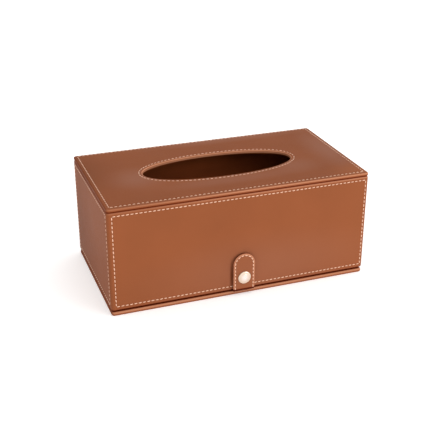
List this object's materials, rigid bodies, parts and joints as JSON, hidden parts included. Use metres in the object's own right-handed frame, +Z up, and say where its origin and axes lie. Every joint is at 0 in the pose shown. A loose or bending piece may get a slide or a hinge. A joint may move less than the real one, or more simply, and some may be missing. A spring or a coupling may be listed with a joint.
{
  "type": "tissue box",
  "caption": "Leather-covered box with an oval tissue opening on top and a hinged base flap closed by a strap with a press stud.",
  "frame": {"origin": "on the table under the middle of the case, on the underside of the base flap", "axes": "+X along the box's length to the right, +Z up, front wall with the strap towards -Y"},
  "size_m": [0.24, 0.1348, 0.1],
  "materials": {
    "tan_leather": "smooth semi-matt tan leather with cream stitching",
    "suede_lining": "dark brown suede lining",
    "board": "plain fibreboard",
    "nickel": "satin nickel plating"
  },
  "bodies": {
    "base_flap": {"base_leather": "tan_leather", "base_board": "board", "base_lining": "suede_lining", "strap_tail": "tan_leather"},
    "case": {"top_board": "board", "top_leather": "tan_leather", "top_lining": "suede_lining", "front_board": "board", "back_board": "board", "left_board": "board", "right_board": "board", "wall_leather": "tan_leather", "back_leather": "tan_leather", "front_lining": "suede_lining", "back_lining": "suede_lining", "left_lining": "suede_lining", "right_lining": "suede_lining", "snap_stud": "nickel", "stud_rivet": "nickel"},
    "strap": {"strap_front_leather": "tan_leather", "strap_back_leather": "tan_leather", "snap_cap": "nickel", "snap_socket": "nickel"}
  },
  "joints": [
    {"name": "case_hinge", "type": "hinge", "parent": "base_flap", "child": "case", "pos_m": [0, 0.06515, 0.0045], "axis": [-1, 0, 0], "range_deg": [0, 92]},
    {"name": "strap_hinge", "type": "hinge", "parent": "base_flap", "child": "strap", "pos_m": [0, -0.0683, 0.00725], "axis": [1, 0, 0], "range_deg": [0, 90]}
  ]
}
